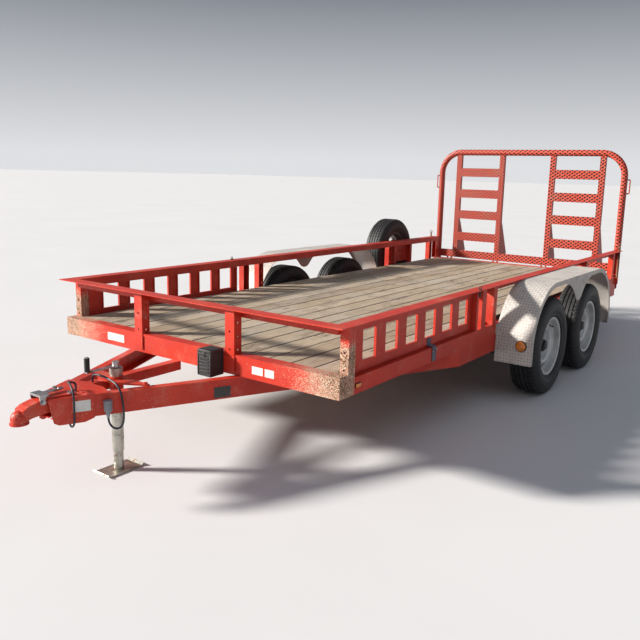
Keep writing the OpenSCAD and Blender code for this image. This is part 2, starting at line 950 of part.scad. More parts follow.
// Frame side of the gate: latch guides and the lugs that carry the hinge pins.
module latch_guides() {
    color(red) {
        both_sides() difference() {
            box([1041, 4778, 486], [1066, 4806, 550]);
            rod_z(1053, 4795, 480, 560, 8.3);
        }
        for (x = lug_xs) {
            difference() {
                union() {
                    rod_x(x - 19.5, x + 19.5, gate_y, hinge_z, 17);
                    box([x - 19.5, rear_y + rear_d, hinge_z - 17], [x + 19.5, gate_y, hinge_z + 15]);
                }
                rod_x(x - 21, x + 21, gate_y, hinge_z, 8.3);
            }
        }
    }
}

// ---- small items ----

module battery_box() {
    color(dark) difference() {
        box([216, -93, 463], [308, 0, 600]);
        for (z = [500, 520, 540]) {
            box([236, -94, z], [288, -90, z + 8]);
        }
    }
}

module safety_cable() {
    color(dark) sweep(smooth(concat(chain_pts, [chain_pts[0]]), 4), 5, 8);
}

module trailer_cable() {
    color(dark) sweep(smooth(cable_pts, 4), 5, 8);
}

module trailer_plug() {
    color([0.45, 0.47, 0.5]) {
        rod_z(172, -612, 380, 392, 11);
        rod_z(172, -612, 392, 436, 17);
        rod_z(172, -612, 436, 444, 20);
    }
}

placed() front_header();
placed() side_rails();
placed() rear_crossmember();
placed() crossmembers();
placed() main_rails();
placed() tongue_rails();
placed() center_tube();
placed() nose_plates();
placed() coupler_body();
placed() coupler_latch();
placed() coupler_bolts();
placed() jack_mount();
placed() jack_tube();
placed() jack_ram();
placed() jack_crank();
placed() jack_grip();
placed() deck_boards();
placed() front_rail();
placed() side_top_rails();
placed() front_posts();
placed() side_posts();
placed() side_ramp_left();
placed() side_ramp_right();
placed() ramp_pin_left();
placed() ramp_pin_right();
placed() ramp_strap();
placed() fender_left();
placed() fender_right();
placed() marker_lights();
placed() tail_lights();
placed() axle_beams();
placed() leaf_springs();
placed() spring_hangers();
placed() tyre(1, wheel_ys[0]);  // tyre_front_left
placed() tyre(-1, wheel_ys[0]);  // tyre_front_right
placed() tyre(1, wheel_ys[1]);  // tyre_rear_left
placed() tyre(-1, wheel_ys[1]);  // tyre_rear_right
placed() rim(1, wheel_ys[0]);  // rim_front_left
placed() rim(-1, wheel_ys[0]);  // rim_front_right
placed() rim(1, wheel_ys[1]);  // rim_rear_left
placed() rim(-1, wheel_ys[1]);  // rim_rear_right
placed() hub(1, wheel_ys[0]);  // hub_front_left
placed() hub(-1, wheel_ys[0]);  // hub_front_right
placed() hub(1, wheel_ys[1]);  // hub_rear_left
placed() hub(-1, wheel_ys[1]);  // hub_rear_right
placed() spare_tyre();
placed() spare_rim();
placed() spare_mount();
placed() gate_frame();
placed() gate_ladders();
placed() gate_gussets();
placed() gate_hinges();
placed() gate_latch_left();
placed() gate_latch_right();
placed() latch_guides();
placed() battery_box();
placed() safety_cable();
placed() trailer_cable();
placed() trailer_plug();
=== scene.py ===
import math
import random

import bmesh
import bpy
from mathutils import Matrix, Vector


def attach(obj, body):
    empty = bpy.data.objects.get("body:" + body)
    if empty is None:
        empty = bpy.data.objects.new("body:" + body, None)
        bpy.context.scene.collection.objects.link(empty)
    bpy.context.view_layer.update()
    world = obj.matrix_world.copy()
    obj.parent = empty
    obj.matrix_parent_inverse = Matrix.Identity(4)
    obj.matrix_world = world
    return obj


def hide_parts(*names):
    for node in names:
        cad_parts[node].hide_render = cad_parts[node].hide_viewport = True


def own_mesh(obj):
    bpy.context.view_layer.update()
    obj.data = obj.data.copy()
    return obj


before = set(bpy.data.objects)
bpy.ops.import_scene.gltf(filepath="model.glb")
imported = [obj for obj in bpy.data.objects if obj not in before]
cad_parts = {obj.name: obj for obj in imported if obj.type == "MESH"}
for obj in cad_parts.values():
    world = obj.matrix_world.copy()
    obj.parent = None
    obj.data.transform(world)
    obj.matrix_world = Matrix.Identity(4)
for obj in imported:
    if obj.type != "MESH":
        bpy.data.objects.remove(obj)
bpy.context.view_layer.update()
scene = bpy.context.scene
rng = random.Random(7)

# Places that several pieces share, in metres. Y counts from the bed's front face,
# and the row frame's origin lies Y_MID behind that face.
Y_MID = 2.060
AXLES = (2.281, 3.160)
HUB_Z = 0.344
WHEEL_X = 1.1735
SPARE = (-1.1865, 4.075, 0.690)
FENDER_MID = 2.7205
FENDER_HALF = 0.930
BED_FRONT, BED_REAR = 0.071, 4.807
BOARD_PITCH, BOARD_WIDTH = 0.1401, 0.138
BOARD_TOP, BOARD_FOOT = 0.578, 0.5402
GATE_Y = 4.912 - Y_MID
MESH_W, MESH_H = 0.050, 0.034  # one diamond of the gate's expanded metal
TONGUE_SLOPE = 0.4777  # how far a tongue rail spreads for each unit back
TYRE_PERIODS = 64  # tread blocks around a tyre
UP = Vector((0, 0, 1))
RIDE = "trailer_frame"


def at(x, y, z):
    """Point in the row frame, from millimetres with y counted from the bed's front face."""
    return Vector((x / 1000, y / 1000 - Y_MID, z / 1000))


# ---- camera ----

def make_camera():
    """Camera ahead and to the left, at 1.49 m, looking back over the bed and rolled slightly."""
    yaw, pitch, roll = math.radians(35.16), math.radians(10.66), math.radians(1.514)
    flat = math.cos(pitch)
    fwd = Vector((-math.sin(yaw) * flat, math.cos(yaw) * flat, -math.sin(pitch)))
    level = Vector((math.cos(yaw), math.sin(yaw), 0))
    over = level.cross(fwd)
    right = level * math.cos(roll) + over * math.sin(roll)
    up = over * math.cos(roll) - level * math.sin(roll)
    data = bpy.data.cameras.new("camera")
    data.lens = 39.65
    data.sensor_width = 36
    data.shift_x = -0.0273
    data.shift_y = -0.0197
    cam = bpy.data.objects.new("camera", data)
    scene.collection.objects.link(cam)
    m = Matrix((right, up, -fwd)).transposed().to_4x4()
    m.translation = Vector((2.812, -2.546 - Y_MID, 1.492))
    cam.matrix_world = m
    scene.camera = cam


make_camera()


# ---- node helpers ----

class Mat:
    """A material with short calls for its nodes."""

    def __init__(self, name, rough=0.5, metal=0.0):
        self.m = bpy.data.materials.new(name)
        self.m.use_nodes = True
        self.t = self.m.node_tree
        self.t.nodes.clear()
        out = self.t.nodes.new("ShaderNodeOutputMaterial")
        self.bsdf = self.t.nodes.new("ShaderNodeBsdfPrincipled")
        self.t.links.new(self.bsdf.outputs[0], out.inputs[0])
        self.bsdf.inputs["Roughness"].default_value = rough
        self.bsdf.inputs["Metallic"].default_value = metal
        self.obj = self.t.nodes.new("ShaderNodeTexCoord").outputs["Object"]

    def put(self, value, socket):
        """Link a socket, or set a number or a colour."""
        if isinstance(value, bpy.types.NodeSocket):
            self.t.links.new(value, socket)
        elif hasattr(value, "__len__"):
            socket.default_value = [*value, 1]
        else:
            socket.default_value = value

    def set(self, name, value):
        self.put(value, self.bsdf.inputs[name])

    def math(self, op, *values):
        n = self.t.nodes.new("ShaderNodeMath")
        n.operation = op
        for value, socket in zip(values, n.inputs):
            self.put(value, socket)
        return n.outputs[0]

    def plus(self, a, b):
        return self.math("ADD", a, b)

    def minus(self, a, b):
        return self.math("SUBTRACT", a, b)

    def times(self, a, b):
        return self.math("MULTIPLY", a, b)

    def line(self, a, slope, start):
        return self.math("MULTIPLY_ADD", a, slope, start)

    def size(self, a):
        return self.math("ABSOLUTE", a)

    def wave(self, a, rate):
        return self.math("SINE", self.times(a, rate))

    def scale(self, v, s):
        n = self.t.nodes.new("ShaderNodeVectorMath")
        n.operation = "MULTIPLY"
        self.put(v, n.inputs[0])
        n.inputs[1].default_value = s
        return n.outputs[0]

    def add(self, v, w):
        n = self.t.nodes.new("ShaderNodeVectorMath")
        n.operation = "ADD"
        self.put(v, n.inputs[0])
        self.put(w, n.inputs[1])
        return n.outputs[0]

    def noise(self, scale, detail=3.0, rough=0.5, vec=None, dist=0.0, stretch=None):
        n = self.t.nodes.new("ShaderNodeTexNoise")
        v = self.obj if vec is None else vec
        if stretch:
            v = self.scale(v, stretch)
        self.t.links.new(v, n.inputs["Vector"])
        n.inputs["Scale"].default_value = scale
        n.inputs["Detail"].default_value = detail
        n.inputs["Roughness"].default_value = rough
        n.inputs["Distortion"].default_value = dist
        return n.outputs["Fac"]

    def cells(self, scale, vec=None):
        n = self.t.nodes.new("ShaderNodeTexVoronoi")
        self.t.links.new(self.obj if vec is None else vec, n.inputs["Vector"])
        n.inputs["Scale"].default_value = scale
        return n.outputs["Distance"]

    def ramp(self, fac, *stops):
        n = self.t.nodes.new("ShaderNodeValToRGB")
        e = n.color_ramp.elements
        while len(e) < len(stops):
            e.new(0.5)
        for el, (p, c) in zip(e, stops):
            el.position = p
            el.color = (*c, 1)
        self.put(fac, n.inputs[0])
        return n.outputs[0]

    def mix(self, fac, a, b):
        n = self.t.nodes.new("ShaderNodeMix")
        n.data_type = "RGBA"
        self.put(fac, n.inputs[0])
        self.put(a, n.inputs[6])
        self.put(b, n.inputs[7])
        return n.outputs[2]

    def split(self):
        n = self.t.nodes.new("ShaderNodeSeparateXYZ")
        self.t.links.new(self.obj, n.inputs[0])
        return n.outputs

    def above(self, v, edge, soft):
        """0 below the edge and 1 above it, blended over soft on each side."""
        n = self.t.nodes.new("ShaderNodeMapRange")
        n.interpolation_type = "SMOOTHSTEP"
        self.put(v, n.inputs[0])
        n.inputs[1].default_value = edge - soft
        n.inputs[2].default_value = edge + soft
        return n.outputs[0]

    def below(self, v, edge, soft):
        return self.minus(1.0, self.above(v, edge, soft))

    def bump(self, height, strength, dist):
        n = self.t.nodes.new("ShaderNodeBump")
        n.inputs["Strength"].default_value = strength
        n.inputs["Distance"].default_value = dist
        self.put(height, n.inputs["Height"])
        self.t.links.new(n.outputs[0], self.bsdf.inputs["Normal"])


# Brighter red that the gate's strands are mixed towards: a painted highlight.
HIGHLIGHT_RED = (0.80, 0.13, 0.07)


def red_paint(name, chips, ends=False, lattice=False, lift=0.0):
    """Worn red paint: faded tone, scratches, and chips down to pale primer and rust.

    ends wears the front corners more, lattice draws the gate's mesh with painted shade in its openings
    and a painted highlight on its strands, and lift mixes in a brighter red as a painted highlight.
    """
    m = Mat(name, 0.42)
    tone = m.noise(2.3, 4, 0.6)
    col = m.ramp(tone, (0.3, (0.40, 0.020, 0.010)), (0.5, (0.48, 0.029, 0.013)),
                 (0.72, (0.56, 0.044, 0.019)))
    dust = m.noise(9, 6, 0.7)
    col = m.mix(m.times(m.above(dust, 0.62, 0.14), 0.35), col, (0.45, 0.22, 0.16))
    streak = m.noise(14, 4, 0.65, stretch=(6.0, 6.0, 0.5))
    col = m.mix(m.times(m.above(streak, 0.64, 0.08), 0.3), col, (0.16, 0.02, 0.012))
    fine = m.noise(150, 4, 0.7)
    patch = m.noise(5.5, 3, 0.6)
    amount = m.plus(fine, m.times(m.minus(patch, 0.5), 0.35))
    if ends:
        x, y, z = m.split()
        far = m.above(m.size(x), 0.80, 0.22)
        low = m.below(y, 0.16 - Y_MID, 0.05)
        under = m.below(z, 0.72, 0.05)
        zone = m.times(m.times(far, low), under)
        amount = m.plus(amount, m.times(zone, 0.25))
    chip = m.above(amount, 0.72 - 0.10 * chips, 0.012)
    core = m.above(amount, 0.80 - 0.10 * chips, 0.012)
    # Painted highlight: lift mixes the red towards the brighter red.
    col = m.mix(lift, col, HIGHLIGHT_RED)
    prime = m.ramp(m.noise(60, 2), (0.35, (0.40, 0.29, 0.20)), (0.65, (0.62, 0.50, 0.37)))
    rust = m.ramp(m.noise(90, 3), (0.3, (0.055, 0.020, 0.010)), (0.7, (0.20, 0.075, 0.030)))
    col = m.mix(chip, col, prime)
    col = m.mix(core, col, rust)
    m.set("Base Color", col)
    m.set("Roughness", m.plus(m.times(dust, 0.25), m.line(chip, 0.3, 0.32)))
    m.set("Specular IOR Level", 0.32)
    peel = m.noise(320, 2, 0.5)
    h = m.minus(m.times(peel, 0.15), m.times(chip, 0.8))
    if lattice:
        x, y, z = m.split()
        run = m.math("DIVIDE", m.plus(x, y), MESH_W)
        rise = m.math("DIVIDE", z, MESH_H)
        pu = m.size(m.minus(m.math("FRACT", m.plus(run, rise)), 0.5))
        pv = m.size(m.minus(m.math("FRACT", m.minus(run, rise)), 0.5))
        wire = m.math("MAXIMUM", m.above(pu, 0.35, 0.04), m.above(pv, 0.35, 0.04))
        # Painted shade and highlight: the openings between the strands are near-black red, and the
        # strands take 45% of the brighter red.
        m.set("Base Color", m.mix(wire, (0.045, 0.007, 0.006), m.mix(0.45, col, HIGHLIGHT_RED)))
        h = m.plus(h, m.times(wire, 2.2))
    m.bump(h, 0.5, 0.0008)
    return m.m


def plain_metal(name, dark, light, rough, rust, metal=1.0):
    """Zinc plated or bare steel with stains."""
    m = Mat(name, rough, metal)
    col = m.ramp(m.noise(24, 5, 0.6), (0.3, dark), (0.7, light))
    mask = m.above(m.plus(m.noise(18, 6, 0.7), m.times(m.noise(110, 2), 0.15)), 0.70 - 0.1 * rust, 0.05)
    brown = m.ramp(m.noise(70, 3), (0.3, (0.09, 0.035, 0.015)), (0.7, (0.25, 0.11, 0.05)))
    m.set("Base Color", m.mix(mask, col, brown))
    m.set("Metallic", m.line(mask, -0.8 * metal, metal))
    m.set("Roughness", m.plus(m.times(m.noise(40, 4), 0.25), m.line(mask, 0.35, rough - 0.1)))
    brush = m.noise(60, 3, 0.6, stretch=(1, 1, 9))
    m.bump(m.plus(m.times(brush, 0.4), mask), 0.35, 0.0006)
    return m.m


def aluminium(name, tone):
    """Bright treadplate with scuffs and road film; tone scales its brightness."""
    m = Mat(name, 0.4, 1.0)
    film = m.noise(5, 6, 0.65)
    shades = [(place, [tone * c for c in colour]) for place, colour in (
        (0.3, (0.44, 0.41, 0.39)), (0.55, (0.54, 0.50, 0.46)), (0.75, (0.62, 0.57, 0.51)))]
    col = m.ramp(film, *shades)
    scuff = m.noise(35, 5, 0.7, stretch=(1.0, 3.0, 1.0), dist=0.4)
    dirt = m.above(m.noise(11, 7, 0.7), 0.60, 0.1)
    col = m.mix(m.times(dirt, 0.45), col, (0.16, 0.13, 0.11))
    m.set("Base Color", col)
    m.set("Metallic", m.line(dirt, -0.1, 0.18))
    m.set("Roughness", m.plus(m.times(scuff, 0.25), m.line(dirt, 0.15, 0.42)))
    m.bump(m.plus(m.times(scuff, 0.6), m.times(m.noise(90, 3), 0.4)), 0.25, 0.0005)
    return m.m


def wood(name):
    """Weathered treated planks: each board has its own tone, with grain, checks, knots and dirt."""
    m = Mat(name, 0.85)
    x, y, z = m.split()
    count = m.line(x, 1 / BOARD_PITCH, 7.0)
    board = m.math("FLOOR", count)
    across = m.math("FRACT", count)
    near = m.times(m.minus(0.5, m.size(m.minus(across, 0.5))), BOARD_PITCH)
    n = m.t.nodes.new("ShaderNodeTexWhiteNoise")
    n.noise_dimensions = "1D"
    m.t.links.new(board, n.inputs["W"])
    tone, shift = n.outputs["Value"], n.outputs["Color"]
    moved = m.add(m.obj, m.scale(shift, (5.0, 9.0, 3.0)))
    ring = m.noise(1.0, 3, 0.5, vec=moved, stretch=(15.0, 1.1, 15.0), dist=0.6)
    rings = m.size(m.wave(ring, 42.0))
    grain = m.noise(1.0, 5, 0.65, vec=moved, stretch=(420.0, 7.0, 260.0))
    base = m.ramp(tone, (0.0, (0.31, 0.225, 0.145)), (0.5, (0.40, 0.31, 0.21)),
                  (1.0, (0.50, 0.405, 0.30)))
    col = m.mix(m.times(rings, 0.45), base, (0.175, 0.120, 0.075))
    col = m.mix(m.times(m.above(grain, 0.56, 0.1), 0.35), col, (0.50, 0.43, 0.34))
    wear = m.noise(2.0, 6, 0.7, stretch=(2.6, 0.8, 1.0))
    col = m.mix(m.times(m.above(wear, 0.55, 0.12), 0.5), col, (0.40, 0.365, 0.325))
    stain = m.noise(3.2, 5, 0.7, stretch=(1.6, 0.6, 1.0))
    col = m.mix(m.times(m.above(stain, 0.63, 0.08), 0.55), col, (0.085, 0.065, 0.05))
    knot = m.cells(1.0, vec=m.scale(moved, (9.0, 2.1, 9.0)))
    kmask = m.below(knot, 0.085, 0.03)
    col = m.mix(m.times(kmask, 0.75), col, (0.075, 0.045, 0.028))
    crack = m.noise(1.0, 4, 0.6, vec=moved, stretch=(60.0, 1.8, 60.0))
    line = m.below(m.size(m.minus(crack, 0.5)), 0.012, 0.008)
    line = m.times(line, m.above(m.noise(4.0, 2), 0.55, 0.1))
    col = m.mix(m.times(line, 0.9), col, (0.035, 0.025, 0.018))
    ragged = m.line(m.noise(1.0, 4, 0.7, stretch=(60.0, 9.0, 20.0)), 0.010, -0.0015)
    seam = m.below(m.minus(near, ragged), 0.0015, 0.0025)
    col = m.mix(m.times(seam, 0.85), col, (0.030, 0.021, 0.014))
    m.set("Base Color", col)
    m.set("Roughness", m.line(grain, 0.2, 0.70))
    h = m.minus(m.line(rings, -0.35, m.times(grain, 0.6)), m.times(line, 2.0))
    m.bump(h, 0.6, 0.0012)
    return m.m


def rubber(name):
    """Tyre rubber, browner where dust lies."""
    m = Mat(name, 0.62)
    dust = m.noise(7, 6, 0.7)
    fine = m.noise(160, 4, 0.6)
    col = m.ramp(m.line(fine, 0.25, m.times(dust, 0.8)), (0.35, (0.0085, 0.0087, 0.0095)),
                 (0.60, (0.017, 0.017, 0.018)), (0.80, (0.045, 0.041, 0.036)))
    m.set("Base Color", col)
    m.set("Roughness", m.line(dust, 0.3, 0.42))
    m.set("Specular IOR Level", 0.45)
    m.bump(m.plus(m.times(fine, 0.5), dust), 0.25, 0.0005)
    return m.m


# Inboard of RIM_BACK the rims are painted near black: brake dust and painted shade.
RIM_BACK = 1.1765  # the rims' discs are dark behind this distance from the middle


def rim_paint(name):
    """Silver wheel paint with specks of brake dust, dark on the inboard side of the disc with brake dust
    and painted shade.
    """
    m = Mat(name, 0.35, 0.55)
    film = m.noise(16, 6, 0.65)
    col = m.ramp(film, (0.3, (0.42, 0.42, 0.415)), (0.6, (0.55, 0.55, 0.54)), (0.8, (0.62, 0.615, 0.60)))
    spots = m.above(m.noise(120, 3, 0.7), 0.68, 0.03)
    col = m.mix(m.times(spots, 0.7), col, (0.10, 0.06, 0.04))
    x, y, z = m.split()
    # Brake dust and painted shade on the inboard side of the disc.
    inboard_dust_and_shade = m.below(m.size(x), RIM_BACK, 0.002)
    col = m.mix(m.times(inboard_dust_and_shade, 0.93), col, (0.012, 0.010, 0.009))
    m.set("Base Color", col)
    m.set("Metallic", m.line(inboard_dust_and_shade, -0.3, 0.3))
    m.set("Roughness", m.line(film, 0.35, 0.2))
    m.bump(m.plus(m.times(m.noise(240, 2), 0.3), spots), 0.2, 0.0004)
    return m.m


def plastic(name, low, high, rough, grain=260):
    """Moulded plastic with a fine leathery grain and dust in patches."""
    m = Mat(name, rough)
    film = m.noise(10, 6, 0.7)
    col = m.ramp(m.noise(6, 3), (0.3, low), (0.7, high))
    col = m.mix(m.times(m.above(film, 0.62, 0.12), 0.3), col, (0.16, 0.13, 0.10))
    m.set("Base Color", col)
    m.set("Roughness", m.line(film, 0.3, rough - 0.12))
    m.bump(m.cells(grain), 0.25, 0.0004)
    return m.m


def lens(name, low, high):
    """Coloured lens with a fine grid of ribs under a glossy skin."""
    m = Mat(name, 0.16)
    x, y, z = m.split()
    ribs = m.size(m.wave(m.plus(x, y), 900.0))
    rows = m.size(m.wave(z, 900.0))
    col = m.ramp(m.times(ribs, rows), (0.0, low), (0.8, high))
    col = m.mix(m.times(m.above(m.noise(30, 5), 0.6, 0.12), 0.25), col, (0.2, 0.12, 0.06))
    m.set("Base Color", col)
    m.set("Coat Weight", 0.6)
    m.bump(m.math("MAXIMUM", ribs, rows), 0.4, 0.0008)
    return m.m


def black_paint(name, rusty=0.4):
    """Chassis black with dust and rust bloom."""
    m = Mat(name, 0.5)
    col = m.ramp(m.noise(8, 5, 0.6), (0.3, (0.010, 0.010, 0.011)), (0.7, (0.030, 0.029, 0.028)))
    dust = m.above(m.noise(14, 6, 0.7), 0.58, 0.12)
    col = m.mix(m.times(dust, 0.4), col, (0.13, 0.10, 0.075))
    bloom = m.above(m.noise(45, 5, 0.7), 0.70 - 0.08 * rusty, 0.03)
    col = m.mix(bloom, col, (0.16, 0.06, 0.025))
    m.set("Base Color", col)
    m.set("Roughness", m.line(dust, 0.3, 0.4))
    m.bump(m.plus(m.noise(200, 3), bloom), 0.3, 0.0005)
    return m.m


def webbing(name):
    """Polyester webbing: a twill of fine ribs across the strap."""
    m = Mat(name, 0.8)
    x, y, z = m.split()
    warp = m.wave(y, 3600.0)
    weft = m.math("SINE", m.line(y, 1400.0, m.times(z, 2400.0)))
    h = m.math("MAXIMUM", warp, weft)
    col = m.ramp(m.line(h, 0.5, 0.5), (0.2, (0.010, 0.014, 0.035)), (0.9, (0.040, 0.052, 0.105)))
    col = m.mix(m.times(m.above(m.noise(30, 4), 0.58, 0.1), 0.35), col, (0.13, 0.11, 0.09))
    m.set("Base Color", col)
    m.set("Sheen Weight", 0.3)
    m.bump(h, 0.5, 0.0006)
    return m.m


def sticker(name, low, high):
    """Blank faded decal."""
    m = Mat(name, 0.4)
    wear = m.noise(40, 6, 0.7)
    col = m.ramp(m.noise(12, 4), (0.3, low), (0.7, high))
    col = m.mix(m.times(m.above(wear, 0.62, 0.05), 0.7), col, (0.30, 0.05, 0.03))
    m.set("Base Color", col)
    m.set("Roughness", m.line(wear, 0.3, 0.25))
    m.bump(wear, 0.2, 0.0003)
    return m.m


RED = red_paint("red_paint", 0.35)
RED_FRONT = red_paint("red_paint_front", 0.45, ends=True)
RED_WORN = red_paint("red_paint_worn", 0.75)
# The gate's materials carry painted shade in the mesh openings and a painted highlight on the strands.
RED_GATE = red_paint("red_paint_gate", 0.55, lattice=True)
RED_STRANDS = red_paint("red_paint_strands_highlight", 1.0, lift=0.45)
ZINC = plain_metal("zinc_steel", (0.30, 0.30, 0.31), (0.55, 0.55, 0.56), 0.38, 0.5)
JACK = plain_metal("jack_steel", (0.34, 0.33, 0.29), (0.58, 0.56, 0.50), 0.42, 0.25)
RUSTY = plain_metal("rusty_steel", (0.16, 0.09, 0.05), (0.30, 0.20, 0.14), 0.6, 1.4, 0.7)
# The lozenges' aluminium is a brighter copy of the fenders' (tone 1.35 against 0.80): a painted highlight
# on the raised lozenges.
ALU = aluminium("treadplate_aluminium", 0.80)
LOZENGE = aluminium("lozenge_aluminium_highlight", 1.35)
WOOD = wood("weathered_planks")
TYRE = rubber("tyre_rubber")
RIM = rim_paint("rim_silver")
BLACK = black_paint("chassis_black")
HUB = black_paint("hub_black", 0.9)
BOX = plastic("black_moulding", (0.012, 0.012, 0.013), (0.028, 0.028, 0.03), 0.5)
GRIP = plastic("grip_rubber", (0.010, 0.010, 0.010), (0.022, 0.022, 0.022), 0.65, 600)
PLUG = plastic("plug_grey", (0.16, 0.17, 0.19), (0.26, 0.27, 0.29), 0.45, 420)
JACKET = plastic("cable_jacket", (0.010, 0.012, 0.022), (0.022, 0.026, 0.045), 0.42, 900)
AMBER = lens("amber_lens", (0.45, 0.10, 0.005), (0.85, 0.27, 0.02))
REDLENS = lens("red_lens", (0.25, 0.004, 0.004), (0.62, 0.02, 0.015))
STRAP = webbing("webbing")
LABEL = sticker("blank_label", (0.50, 0.49, 0.46), (0.68, 0.67, 0.64))
DARK_LABEL = sticker("dark_label", (0.018, 0.018, 0.018), (0.045, 0.043, 0.04))


# ---- mesh helpers ----

def solid_mesh(name, verts, faces, material, smooth):
    """Mesh with its faces turned outward, smooth below the given angle in degrees."""
    mesh = bpy.data.meshes.new(name)
    mesh.from_pydata([tuple(v) for v in verts], [], faces)
    bm = bmesh.new()
    bm.from_mesh(mesh)
    bmesh.ops.recalc_face_normals(bm, faces=bm.faces)
    bm.to_mesh(mesh)
    bm.free()
    mesh.materials.append(material)
    if smooth:
        mesh.polygons.foreach_set("use_smooth", [True] * len(mesh.polygons))
        mesh.set_sharp_from_angle(angle=math.radians(smooth))
    return mesh


def place(name, mesh, body, slot, spot=(0, 0, 0)):
    """Object with its origin at spot, moving with a CAD body."""
    o = bpy.data.objects.new(name, mesh)
    scene.collection.objects.link(o)
    o.matrix_world = Matrix.Translation(spot)
    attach(o, body)
    return o


def skin(rings, sides, start=0, loop=False):
    """Quads between rings of points laid one after another; each ring has sides points."""
    faces = []
    for i in range(rings if loop else rings - 1):
        j = (i + 1) % rings
        for k in range(sides):
            q = (k + 1) % sides
            faces.append((start + i * sides + k, start + i * sides + q,
                          start + j * sides + q, start + j * sides + k))
    return faces


def caps(rings, sides, start=0):
    """Faces over the first and the last ring."""
    last = start + (rings - 1) * sides
    return [tuple(start + k for k in range(sides - 1, -1, -1)), tuple(last + k for k in range(sides))]


STRAND_DEPTH = 0.16  # how deep the grooves between a rope's strands are, of its radius


class Build:
    """Collects solids into one mesh."""

    def __init__(self):
        self.v, self.f = [], []

    def add(self, verts, faces):
        n = len(self.v)
        self.v += [Vector(p) for p in verts]
        self.f += [tuple(i + n for i in face) for face in faces]

    def box(self, lo, hi, c):
        """Box with all twelve edges chamfered by c."""
        lo, hi = Vector(lo), Vector(hi)
        bm = bmesh.new()
        bmesh.ops.create_cube(bm, size=1.0)
        for p in bm.verts:
            p.co = Vector([lo[i] + (p.co[i] + 0.5) * (hi[i] - lo[i]) for i in range(3)])
        bmesh.ops.bevel(bm, geom=list(bm.edges), offset=c, segments=2, profile=0.5, affect="EDGES")
        bm.verts.index_update()
        self.add([p.co.copy() for p in bm.verts], [[p.index for p in f.verts] for f in bm.faces])
        bm.free()

    def lathe(self, origin, axis, n, *profile):
        """Solid with n sides, from (radius, height) pairs turned about an axis."""
        axis = Vector(axis).normalized()
        u = axis.orthogonal().normalized()
        w = axis.cross(u)
        start = len(self.v)
        for r, h in profile:
            for k in range(n):
                a = math.tau * k / n
                self.v.append(Vector(origin) + axis * h + (u * math.cos(a) + w * math.sin(a)) * r)
        self.f += skin(len(profile), n, start) + caps(len(profile), n, start)

    def tube(self, path, radius, n=10, loop=False, lobes=0, twist=0.0):
        """Tube with n sides along points; lobes and twist (radians per metre) lay it in strands."""
        pts = [Vector(p) for p in path]
        count = len(pts)

        def heading(i):
            a = pts[(i - 1) % count] if loop or i else pts[0]
            b = pts[(i + 1) % count] if loop or i < count - 1 else pts[-1]
            return (b - a).normalized()

        u = heading(0).orthogonal().normalized()
        start = len(self.v)
        run = 0.0
        for i, p in enumerate(pts):
            t = heading(i)
            u = (u - t * u.dot(t)).normalized()
            w = t.cross(u)
            if i:
                run += (p - pts[i - 1]).length
            for k in range(n):
                a = math.tau * k / n
                r = radius * (1 - STRAND_DEPTH * (0.5 - 0.5 * math.cos(lobes * a)))
                turn = a + twist * run
                self.v.append(p + (u * math.cos(turn) + w * math.sin(turn)) * r)
        self.f += skin(count, n, start, loop)
        if not loop:
            self.f += caps(count, n, start)

    def done(self, name, material, body=RIDE, slot="red_paint", smooth=35):
        return place(name, solid_mesh(name, self.v, self.f, material, smooth), body, slot)


def catmull(points, n):
    """Smooth path through the points, with n steps between each pair."""
    out = []
    for i in range(len(points) - 1):
        a, b = points[max(i - 1, 0)], points[i]
        c, d = points[i + 1], points[min(i + 2, len(points) - 1)]
        for k in range(n):
            t = k / n
            out.append(0.5 * (2 * b + (c - a) * t + (2 * a - 5 * b + 4 * c - d) * t * t
                              + (3 * b - a - 3 * c + d) * t ** 3))
    return out + [points[-1]]


# ---- cords ----

# Points the cords pass through, in millimetres as at() takes them.
CABLE = [(-55, -528, 465), (-54, -529, 488), (-40, -533, 508), (0, -538, 518),
         (60, -541, 518), (115, -545, 512), (160, -550, 500), (190, -553, 470),
         (203, -553, 420), (204, -550, 365), (198, -552, 322), (188, -564, 302),
         (177, -584, 304), (172, -602, 325), (172, -611, 352), (172, -612, 380)]
LOOP = [(0, -700, 520), (40, -716, 520), (86, -736, 508), (107, -744, 468),
        (108, -745, 410), (106, -745, 362), (92, -744, 338), (62, -736, 332),
        (34, -722, 352), (18, -700, 400), (16, -684, 440), (20, -673, 490), (14, -676, 512)]


PLUG_X, PLUG_Y = 172, -612


def trailer_cable():
    """Wiring lead hanging from the tongue, and the collar, grip ribs and lip of its plug."""
    path = catmull([at(*p) for p in CABLE], 6)
    b = Build()
    b.tube(path, 0.005, 16)
    o = b.done("trailer_cable_jacket", JACKET, slot="cable_jacket", smooth=50)
    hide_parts("trailer_cable")
    b = Build()
    b.lathe(at(PLUG_X, PLUG_Y, 380), UP, 32, (0.0062, -0.018), (0.0078, -0.010), (0.0105, 0.0),
            (0.0108, 0.0118), (0.0085, 0.012))
    half = Vector((0.0022, 0.0022, 0.018))
    for k in range(8):
        a = math.tau * k / 8
        c = at(PLUG_X + 16.4 * math.cos(a), PLUG_Y + 16.4 * math.sin(a), 414)
        b.box(c - half, c + half, 0.0007)
    b.lathe(at(PLUG_X, PLUG_Y, 443), UP, 40, (0.0195, 0.0), (0.0195, 0.0012), (0.017, 0.0018),
            (0.0165, 0.0))
    ribs = b.done("plug_ribs", PLUG, slot="plug_plastic")


def safety_cable():
    """Closed loop of wire rope under the coupler, laid in six strands."""
    path = catmull([at(*p) for p in LOOP + LOOP[:1]], 14)[:-1]
    b = Build()
    b.tube(path, 0.005, 24, loop=True, lobes=6, twist=95.0)
    o = b.done("safety_wire_rope", JACKET, slot="cable_jacket", smooth=60)
    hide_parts("safety_cable")


trailer_cable()
safety_cable()


# ---- deck ----

BOARDS = 14
DECK_STEPS = 48
FIRST_CROSS, CROSS_PITCH, CROSS_HALF = 0.350, 0.6, 0.020  # the crossmembers under the screws


